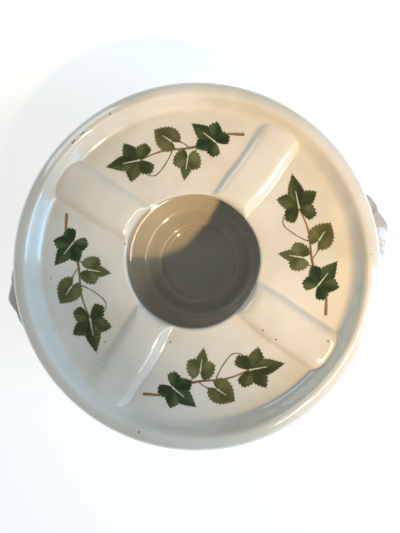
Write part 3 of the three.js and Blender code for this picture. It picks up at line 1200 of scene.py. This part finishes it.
@dataclass
class Studio:
    """The pale floor, the lights and the camera over the warmer."""

    crest_z: float
    roll_deg: float = 11.0
    eye_over_crest: float = 169.0
    eye_shift: Point = (10.0, 3.2)
    aim: Point = (3.0, 8.7)
    lens_mm: float = 27.0
    frame_shift: Point = (0.0, -0.0435)
    room_colour: tuple[float, float, float] = (0.84, 0.95, 1.0)
    horizon: float = 0.44
    zenith: float = 0.25
    lamp_place: tuple[float, float, float] = (180.0, -262.0, 455.0)
    lamp_aim: tuple[float, float, float] = (60.0, 55.0, 70.0)
    lamp_r: float = 12.0
    lamp_cone_deg: float = 33.0
    lamp_power: float = 8.4
    lamp_colour: tuple[float, float, float] = (1.0, 0.62, 0.25)

    def across(self) -> tuple[Vector, Vector]:
        """Return the picture's right and up directions, laid flat on the table."""
        roll = math.radians(self.roll_deg)
        return (
            Vector((math.cos(roll), -math.sin(roll), 0)),
            Vector((math.sin(roll), math.cos(roll), 0)),
        )

    def place(self, right: float, up: float, z: float) -> Vector:
        """Return a point given by picture directions, in millimetres, as metres."""
        side, top = self.across()
        return (side * right + top * up + Vector((0, 0, z))) * MM

    def camera(self) -> None:
        """Set the camera above the ring, tilted a little off the vertical."""
        data = bpy.data.cameras.new("camera")
        data.lens = self.lens_mm
        data.sensor_width = 36.0
        data.shift_x, data.shift_y = self.frame_shift
        data.clip_start = 0.005
        eye = self.place(self.eye_shift[0], self.eye_shift[1], self.crest_z + self.eye_over_crest)
        aim = self.place(self.aim[0], self.aim[1], self.crest_z)
        back = (eye - aim).normalized()
        right = self.across()[1].cross(back).normalized()
        up = back.cross(right)
        turn = Matrix((right, up, back)).transposed().to_4x4()
        camera = bpy.data.objects.new("camera", data)
        camera.matrix_world = Matrix.Translation(eye) @ turn
        bpy.context.scene.collection.objects.link(camera)
        bpy.context.scene.camera = camera

    def light(
        self,
        name: str,
        where: tuple[float, float, float],
        size: Point,
        power: float,
        colour: tuple[float, float, float],
    ) -> None:
        """Hang a rectangular light aimed at the ring's middle.

        Args:
            name: the light's name.
            where: its place by picture directions and height, in millimetres.
            size: its width and height, in millimetres.
            power: its power in watts.
            colour: its colour.
        """
        data = bpy.data.lights.new(name, "AREA")
        data.shape = "RECTANGLE"
        data.size, data.size_y = size[0] * MM, size[1] * MM
        data.energy = power
        data.color = colour
        lamp = bpy.data.objects.new(name, data)
        lamp.location = self.place(*where)
        lamp.rotation_euler = (self.place(0, 0, 60) - lamp.location).to_track_quat("-Z", "Y").to_euler()
        bpy.context.scene.collection.objects.link(lamp)

    def floor(self, finish: bpy.types.Material) -> None:
        """Lay the floor under the warmer."""
        bm = bmesh.new()
        bmesh.ops.create_grid(bm, x_segments=2, y_segments=2, size=1500.0)
        piece = finish_mesh(bm, "floor")
        dress(piece, [finish])

    def room(self) -> None:
        """Light the room all round, paler near the horizon than overhead."""
        world = bpy.data.worlds.new("room")
        world.use_nodes = True
        tree = world.node_tree
        source = tree.nodes.new("ShaderNodeTexCoord")
        apart = tree.nodes.new("ShaderNodeSeparateXYZ")
        height = tree.nodes.new("ShaderNodeMapRange")
        height.inputs["To Min"].default_value = self.horizon
        height.inputs["To Max"].default_value = self.zenith
        back = tree.nodes["Background"]
        back.inputs["Color"].default_value = (*self.room_colour, 1.0)
        tree.links.new(source.outputs["Generated"], apart.inputs[0])
        tree.links.new(apart.outputs["Z"], height.inputs["Value"])
        tree.links.new(height.outputs[0], back.inputs["Strength"])
        bpy.context.scene.world = world

    def spot(self) -> None:
        """Hang the small warm lamp, which is brightest on one side of the ring."""
        data = bpy.data.lights.new("lamp", "SPOT")
        data.shadow_soft_size = self.lamp_r * MM
        data.spot_size = math.radians(self.lamp_cone_deg)
        data.spot_blend = 1.0
        data.energy = self.lamp_power
        data.color = self.lamp_colour
        lamp = bpy.data.objects.new("lamp", data)
        lamp.location = self.place(*self.lamp_place)
        lamp.rotation_euler = (self.place(*self.lamp_aim) - lamp.location).to_track_quat("-Z", "Y").to_euler()
        bpy.context.scene.collection.objects.link(lamp)

    def build(self) -> None:
        """Make the floor, the lights and the camera."""
        self.floor(Paper().build())
        self.light("window", (545, -145, 210), (240, 420), 2.4, (0.20, 0.56, 1.0))
        self.light("strip", (270, -190, 420), (420, 55), 0.62, (1.0, 0.90, 0.74))
        self.light("fill", (-330, 330, 330), (260, 260), 0.6, (0.66, 0.84, 1.0))
        self.spot()
        self.room()
        bpy.context.scene.view_settings.view_transform = "Standard"
        self.camera()


def main() -> None:
    """Build the warmer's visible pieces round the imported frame."""
    logging.basicConfig(level=logging.INFO, format="%(name)s: %(message)s")
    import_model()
    ring_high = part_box("warming_ring")[1]
    bowl_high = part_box("candle_bowl")[1]
    lug_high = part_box("lug_right")[1]
    studio = Studio(crest_z=ring_high.z / MM)
    studio.build()
    glaze = Glaze(chips=RIM_CHIPS).build()
    # The bowl's glaze is a darker, greyer copy of the ring's glaze: painted shade for the bowl's inside,
    # which lies in shadow under the ring.
    shaded = Glaze("glazed_bowl_painted_shade", (0.73, 0.71, 0.63), (0.65, 0.63, 0.55)).build()
    # The lugs' glaze is a darker, greyer copy of the ring's glaze: painted shade that holds the lugs down
    # under the lamp and the light off the floor, with a rougher, thinner coat.
    lug_glaze_painted_shade = Glaze("glazed_lug_painted_shade", (0.56, 0.54, 0.49), (0.48, 0.46, 0.40), roughness=0.16, coat=0.15).build()
    bare = Biscuit().build()
    ring = WarmingRing(rim_r=ring_high.x / MM, height=ring_high.z / MM)
    pieces = [
        ring.build(glaze),
        CandleBowl(mouth_r=bowl_high.x / MM, mouth_z=bowl_high.z / MM).build(shaded, bare),
        Lug("lug_right", False, lug_high.x / MM).build(lug_glaze_painted_shade),
        Lug("lug_left", True, lug_high.x / MM).build(lug_glaze_painted_shade),
    ]
    prints = {finish.name.removeprefix("print_"): finish.build() for finish in PRINTS}
    for number in range(SPRAYS):
        pieces += Spray(number + 1, 360.0 / SPRAYS * number, ring).build(prints)
    for piece in pieces:
        LOG.info("%s: %d faces", piece.name, len(piece.data.polygons))


if __name__ == "__main__":
    main()
